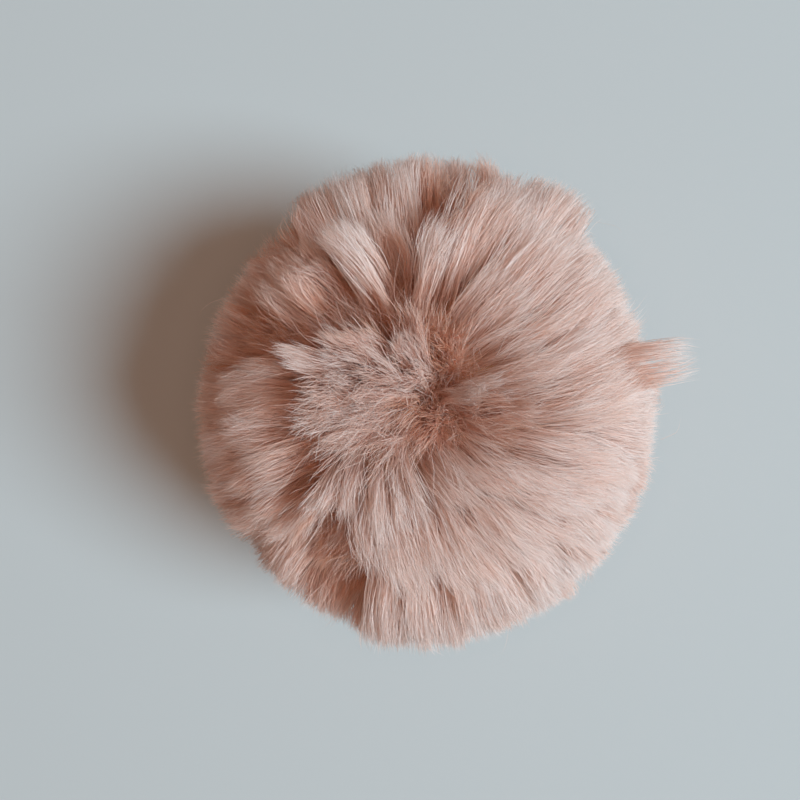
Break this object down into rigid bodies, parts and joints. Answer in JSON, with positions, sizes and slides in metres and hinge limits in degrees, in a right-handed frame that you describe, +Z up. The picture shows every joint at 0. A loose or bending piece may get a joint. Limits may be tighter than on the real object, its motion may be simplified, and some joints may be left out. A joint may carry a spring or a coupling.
{
  "type": "fur pom pom",
  "caption": "Round long-pile fur ball whose pile parts into combed tufts, resting on a small flat spot pressed into its underside.",
  "frame": {"origin": "middle of the flat spot under the ball", "axes": "+Z up from the surface it rests on; +X towards the one tuft that stands out of the side"},
  "size_m": [0.0993, 0.0993, 0.0904],
  "materials": {
    "fur_ball": "dusty pink long-pile faux fur, soft and matt with a faint sheen along the fibres"
  },
  "bodies": {
    "root": {"fur_ball": "fur_ball"}
  },
  "joints": []
}
